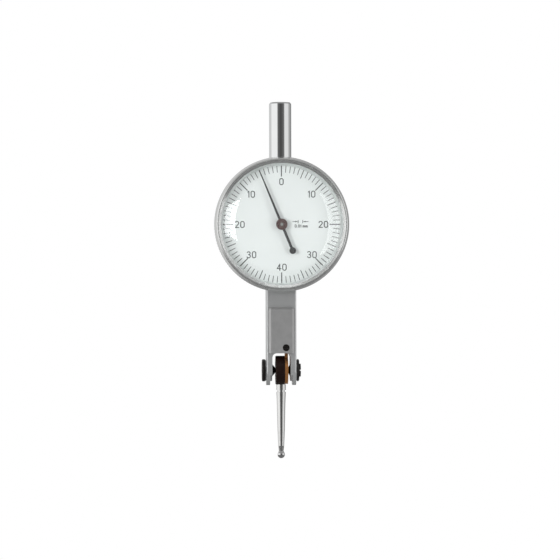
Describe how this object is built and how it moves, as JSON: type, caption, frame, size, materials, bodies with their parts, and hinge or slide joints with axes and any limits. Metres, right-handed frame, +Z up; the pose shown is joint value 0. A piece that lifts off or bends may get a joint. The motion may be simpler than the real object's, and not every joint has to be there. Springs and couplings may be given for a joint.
{
  "type": "dial test indicator",
  "caption": "Lever-type dial test indicator: a knurled bezel with a 0-40-0 dial on a slim necked case, a round clamping stem on top and a swinging ball stylus in a fork below.",
  "frame": {"origin": "on the stem's axis, at the shoulder where the stem leaves the case", "axes": "+Z up the stem, the dial faces -Y, +X to the right as the dial is read"},
  "size_m": [0.036, 0.016, 0.0962],
  "materials": {
    "satin_chrome": "satin chrome plate",
    "bright_chrome": "polished",
    "cover_steel": "brushed",
    "black_oxide": "black oxide",
    "pointer_black": "matt black",
    "hub_brown": "dark lacquer",
    "dial_white": "matt white lacquer with black print",
    "crystal_clear": "clear, polished",
    "brass": "fine turned",
    "bronze": "satin bronze",
    "steel": "turned steel",
    "spring_bronze": "spring bronze",
    "ruby": "polished ruby, dense plastic stands in",
    "bright_ball": "lapped"
  },
  "bodies": {
    "case": {"stem": "bright_chrome", "case_body": "satin_chrome", "back_cover": "satin_chrome", "back_cover_screws": "steel", "neck_cover": "cover_steel", "cover_screw": "black_oxide", "limit_pins": "steel", "bezel_spring": "steel", "movement_plate": "brass", "movement_screws": "steel", "centre_cock": "brass", "crown_cock_left": "brass", "crown_cock_right": "brass", "cock_screws": "steel", "jewels": "ruby", "hairspring_stud": "brass", "hairspring": "spring_bronze", "pivot_screw_left": "black_oxide", "pivot_screw_right": "black_oxide", "lock_disc_left": "black_oxide", "lock_disc_right": "black_oxide", "pivot_washers": "steel"},
    "bezel_set": {"bezel": "bright_chrome", "crystal": "crystal_clear", "rehaut_ring": "satin_chrome", "dial_plate": "dial_white"},
    "lever": {"sector_lever": "bronze", "sector_gear": "steel", "sector_rivets": "brass", "lever_hub": "steel", "friction_washer": "spring_bronze"},
    "stylus_arm": {"stylus_holder": "black_oxide", "stylus": "bright_chrome", "contact_ball": "bright_ball"},
    "crown_set": {"crown_wheel": "brass", "crown_arbor": "steel"},
    "pointer_set": {"pointer": "pointer_black", "pointer_hub": "hub_brown", "centre_pinion": "steel", "hairspring_collet": "brass"}
  },
  "joints": [
    {"name": "pointer_turn", "type": "hinge", "parent": "case", "child": "pointer_set", "pos_m": [0, -0.0084, -0.0172], "axis": [0, 1, 0], "range_deg": [-214.4, 214.4], "stiffness_Nm_per_rad": 0.000003, "deforming": ["hairspring"]},
    {"name": "measuring_swing", "type": "hinge", "parent": "case", "child": "lever", "pos_m": [0, -0.001, -0.0564], "axis": [1, 0, 0], "range_deg": [-1.2, 1.2]},
    {"name": "crown_turn", "type": "hinge", "parent": "case", "child": "crown_set", "pos_m": [0, -0.001, -0.0172], "axis": [1, 0, 0], "range_deg": [-51.1, 51.1]},
    {"name": "stylus_set", "type": "hinge", "parent": "lever", "child": "stylus_arm", "pos_m": [0, -0.001, -0.0564], "axis": [1, 0, 0], "range_deg": [-115, 115]},
    {"name": "bezel_turn", "type": "hinge", "parent": "case", "child": "bezel_set", "pos_m": [0, -0.0058, -0.0172], "axis": [0, 1, 0], "continuous": true}
  ],
  "couplings": [
    {"joint": "measuring_swing", "follows": "pointer_turn", "ratio": 0.0055949},
    {"joint": "crown_turn", "follows": "pointer_turn", "ratio": -0.2381}
  ]
}
